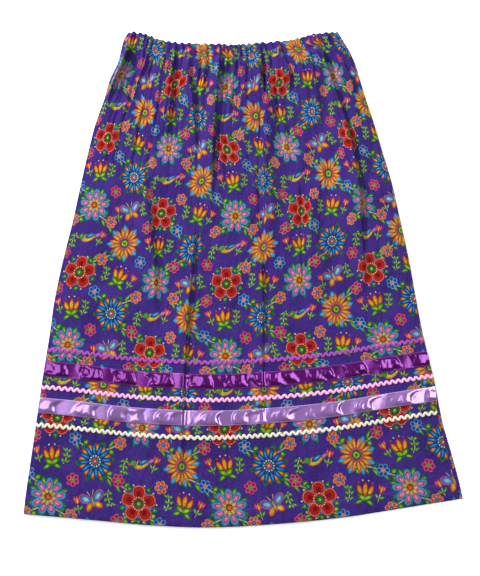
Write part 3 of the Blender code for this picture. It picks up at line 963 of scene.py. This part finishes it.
# Satin ribbon, sewn down along both edges. Between them it puffs up and twists to and fro.
ribbons = {
    "wall": 0.45, "edgeThinner": 0.6, "lift": 0.3,
    "puff": 1.1, "broad": 1.5, "narrow": 0.17, "flatten": 1.8,
    "broadWaves": ((28.0, 82.0), 4), "narrowWaves": ((7.0, 24.0), 6),      # lengths, how many
    "arc": 16.0, "arcOff": 0.5, "slant": 3.0,
    "columns": 620, "rows": 18,
    "dark": {"up": 235.0, "seed": 21}, "lilac": {"up": 174.0, "seed": 5},
}
ends = (0.001, 0.999)         # a trim's ends, just inside the side seams


# Uneven waves along the ribbon, bent to arcs across it. About -1 to 1.
def puckers(along, s, source, lengths, count):
    total = np.zeros_like(along)
    arc, off, slant = ribbons["arc"], ribbons["arcOff"], ribbons["slant"]
    for length in source.uniform(*lengths, count):
        bend = source.uniform(-arc, arc) * (s + source.uniform(-off, off)) ** 2
        lean = source.uniform(-slant, slant) * s
        total += np.sin(circle * (along + bend + lean) / length + source.uniform(0, circle))
    return total / count ** 0.5


# Height of a front ribbon's underside over the cotton, at shares across it from -1 to 1.
def ribbonRise(key, along, s):
    source = np.random.default_rng(ribbons[key]["seed"])
    broad = np.tanh(ribbons["flatten"] * puckers(along, s, source, *ribbons["broadWaves"]))
    narrow = puckers(along, s, source, *ribbons["narrowWaves"])
    puff = 1 + ribbons["broad"] * broad + ribbons["narrow"] * narrow
    return ribbons["lift"] + np.maximum(ribbons["puff"] * (1 - s ** 4) * puff, 0.0)


# A ribbon's shell: its rows stand closer at its edges, by a sine, and its wall thins there.
def makeRibbon(key, front):
    s = np.sin(np.linspace(-0.5, 0.5, ribbons["rows"]) * math.pi)
    t, s = np.meshgrid(np.linspace(*ends, ribbons["columns"]), s)
    along, off = t * skirt["clothWidth"], s * ribbonWidth / 2
    wall = ribbons["wall"] * (1 - ribbons["edgeThinner"] * s ** 6)
    x, y, under = underTrim(t, ribbons[key]["up"] + off, front)
    if front:
        under = under + ribbonRise(key, along, s)
    side = "Front" if front else "Back"
    piece = shell(key + "Ribbon" + side, toFrame(x, y, under + wall), toFrame(x, y, under),
                  np.stack([along, off], -1), satinMaterials[key])
    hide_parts(key + "_ribbon_" + side.lower())
    return piece


# Ric-rac: an oval strand whose middle line swings up and down in even waves.
ricracs = {
    "strand": 4.3, "width": 8.6, "wall": 1.0, "lift": 0.25, "flatness": 0.7,
    "waves": 66, "perWave": 16, "around": 10,
    "orchid": 267.0, "pink": 204.0, "cream": 142.0,      # up
}
swing = (ricracs["width"] - ricracs["strand"]) / 2


# Height of a ric-rac's middle line over its row, as a share of its swing.
def ricracWave(t):
    return np.cos(circle * ricracs["waves"] * t)


# Rings of points along the middle line, each square to the line's slope there.
def makeRicrac(key, front):
    angle = np.linspace(0, circle, ricracs["around"], endpoint=False)
    t = np.linspace(*ends, ricracs["waves"] * ricracs["perWave"] + 1)
    t, angle = np.meshgrid(t, angle, indexing="ij")
    turns = circle * ricracs["waves"]
    rowWidth = 2 * abs(smoothBetween(sideEdges, ricracs[key]))
    lean = np.arctan(-swing * turns / rowWidth * np.sin(turns * t))
    out = np.cos(angle) * ricracs["strand"] / 2
    up = ricracs[key] + swing * ricracWave(t) + np.cos(lean) * out
    across = np.clip(t - np.sin(lean) * out / rowWidth, ends[0] / 2, 1 - ends[0] / 2)
    x, y, z = underTrim(across, up, front)
    half = ricracs["wall"] / 2
    bulge = np.sign(np.sin(angle)) * np.abs(np.sin(angle)) ** ricracs["flatness"]
    points = toFrame(x, y, z + half + (ricracs["lift"] if front else 0.0) + half * bulge)
    number = np.arange(t.size).reshape(t.shape)
    ahead = np.roll(number, -1, axis=1)
    quads = np.stack([number[:-1], number[1:], ahead[1:], ahead[:-1]], -1).reshape(-1, 4)
    closing = []          # each end is closed by quads between the two sides of its ring
    for loop in (number[0], number[-1][::-1]):
        closing += [[loop[n], loop[n + 1], loop[-n - 2], loop[-n - 1]] for n in range(len(loop) // 2 - 1)]
    coordinates = np.stack([t * skirt["clothWidth"], out], -1).reshape(-1, 2) * mm
    side = "Front" if front else "Back"
    piece = meshPiece(key + "Ricrac" + side, points.reshape(-1, 3) * mm,
                      np.concatenate([quads, np.array(closing)]), coordinates, braidMaterials[key])
    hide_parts(key + "_ricrac_" + side.lower())
    return piece


trims = {True: [], False: []}
for front in (True, False):
    trims[front] += [makeRibbon(key, front) for key in ("dark", "lilac")]
    trims[front] += [makeRicrac(key, front) for key in ("orchid", "pink", "cream")]
print("ribbons and ric-rac sewn on")


# Stitches: grains of thread in a row, each a stretched octahedron with a waist of four points.
stitching = {
    "pitch": 2.8, "length": 2.1, "radius": 0.22, "ends": (0.004, 0.996), "waist": (0.22, 0.78),
    "inset": 1.3, "overCotton": 0.12, "overRibbon": 0.1, "overBraid": 0.02, "braidSwing": 0.5,
}


# Each line gives how far up the skirt it runs and how far over the cotton, at shares across.
def makeStitches(name, lines, thread):
    starts = np.arange(*stitching["ends"], stitching["pitch"] / skirt["clothWidth"])
    halfStep = stitching["length"] / skirt["clothWidth"] / 2
    grains = []
    for upOf, liftOf in lines:
        tips = []
        for t in (starts - halfStep, starts + halfStep):
            x, y, z = underTrim(t, upOf(t))
            tips.append(np.stack([x[0], y[0], z[0] + liftOf(t)], -1))
        along = tips[1] - tips[0]
        sideways = np.stack([-along[:, 1], along[:, 0], 0 * along[:, 0]], -1)
        sideways *= stitching["radius"] / np.linalg.norm(sideways, axis=1, keepdims=True)
        upward = np.array([0.0, 0.0, stitching["radius"]])
        waist = [tips[0] + along * share + math.cos(angle) * sideways + math.sin(angle) * upward
                 for share in stitching["waist"] for angle in np.arange(4) * math.pi / 2]
        grains.append(np.stack([tips[0], *waist, tips[1]], 1))
    grains = np.concatenate(grains)
    pattern = []
    for turn in range(4):
        near, far = 1 + turn, 1 + (turn + 1) % 4
        pattern += [[0, far, near], [near, far, far + 4], [near, far + 4, near + 4], [9, near + 4, far + 4]]
    faces = (np.array(pattern) + 10 * np.arange(len(grains))[:, None, None]).reshape(-1, 3)
    points = toFrame(*grains.reshape(-1, 3).T) * mm
    piece = meshPiece(name, points, faces, np.zeros((len(points), 2)), threadMaterials[thread])


# Lines of stitches: level ones, those inside a ribbon's edges, and those along a ric-rac's middle.
def always(value):
    return lambda t: np.full_like(t, value)


def ribbonLine(key, side):
    s = side * (1 - 2 * stitching["inset"] / ribbonWidth)
    over = ribbons["wall"] + stitching["overRibbon"]

    def rise(t):
        return ribbonRise(key, t * skirt["clothWidth"], np.full_like(t, s)) + over
    return always(ribbons[key]["up"] + s * ribbonWidth / 2), rise


def ricracLine(key):
    over = ricracs["wall"] + ricracs["lift"] + stitching["overBraid"]
    return (lambda t: ricracs[key] + stitching["braidSwing"] * swing * ricracWave(t)), always(over)


for seam, up in (("hem", skirt["hemDepth"]), ("casing", casingLine)):
    makeStitches(seam + "Stitches", [(always(up), always(stitching["overCotton"]))], "purple")
for key, thread in (("dark", "plum"), ("lilac", "lilac")):
    makeStitches(key + "RibbonStitches", [ribbonLine(key, -1), ribbonLine(key, 1)], thread)
for key in ("orchid", "pink", "cream"):
    makeStitches(key + "RicracStitches", [ricracLine(key)], key)
print("stitched")


# Floor, camera and light.
stage = {"floor": "fbfbfb", "floorDrop": 0.0006, "floorSize": 8.0, "floorRoughness": 0.9, "floorGlow": 0.3,
         "surroundings": 0.12}
white = (1.0, 1.0, 1.0, 1.0)
bpy.ops.mesh.primitive_plane_add(size=stage["floorSize"], location=(0, 0, -stage["floorDrop"]))
floor = bpy.context.object
floor.name = "floor"
floorMaterial, floorShader = newMaterial("paleFloor")
fill(floorShader, {
    "Base Color": tint(stage["floor"]), "Roughness": stage["floorRoughness"], "Emission Color": white,
    "Emission Strength": stage["floorGlow"]})
floor.data.materials.append(floorMaterial)

view = {"height": 1.336, "tilt": 13.0, "footX": 0.0, "footY": 87.5, "focal": 791.0, "frameHeight": 576.0}
camera = bpy.data.objects.new("camera", bpy.data.cameras.new("camera"))
camera.data.sensor_width = 36.0
camera.data.lens = view["focal"] / view["frameHeight"] * camera.data.sensor_width
camera.location = ((view["footX"] - middleX) * mm, (view["footY"] - middleY) * mm, view["height"])
camera.rotation_euler = (math.radians(view["tilt"]), 0.0, 0.0)
scene.collection.objects.link(camera)
scene.camera = camera

# A low key from the upper left, whose own image doesn't show in the satin, and two wide softboxes
# overhead that the satin mirrors where it slopes to a side.
lamps = (           # name, place, aimed at, size, power, shows in gloss
    ("keyLight", (-2.35, 2.95, 1.75), "origin", (0.6, 0.6), 370.0, False),
    ("leftSoftbox", (-2.1, 0.65, 3.0), "down", (2.3, 2.2), 60.0, True),
    ("rightSoftbox", (2.15, 0.65, 3.0), "down", (2.3, 2.2), 88.0, True),
)
for name, place, aim, size, power, inGloss in lamps:
    light = bpy.data.lights.new(name, "AREA")
    light.shape = "RECTANGLE"
    light.size, light.size_y = size
    light.energy = power
    lamp = bpy.data.objects.new(name, light)
    lamp.location = place
    if aim == "origin":
        x, y, z = place
        lamp.rotation_euler = (math.atan2(math.hypot(x, y), z), 0.0, math.atan2(-y, -x) - math.pi / 2)
    lamp.visible_glossy = inGloss
    scene.collection.objects.link(lamp)

scene.view_settings.view_transform = "Standard"
scene.world = bpy.data.worlds.new("studio")
scene.world.use_nodes = True
fill(scene.world.node_tree.nodes["Background"], {"Color": white, "Strength": stage["surroundings"]})
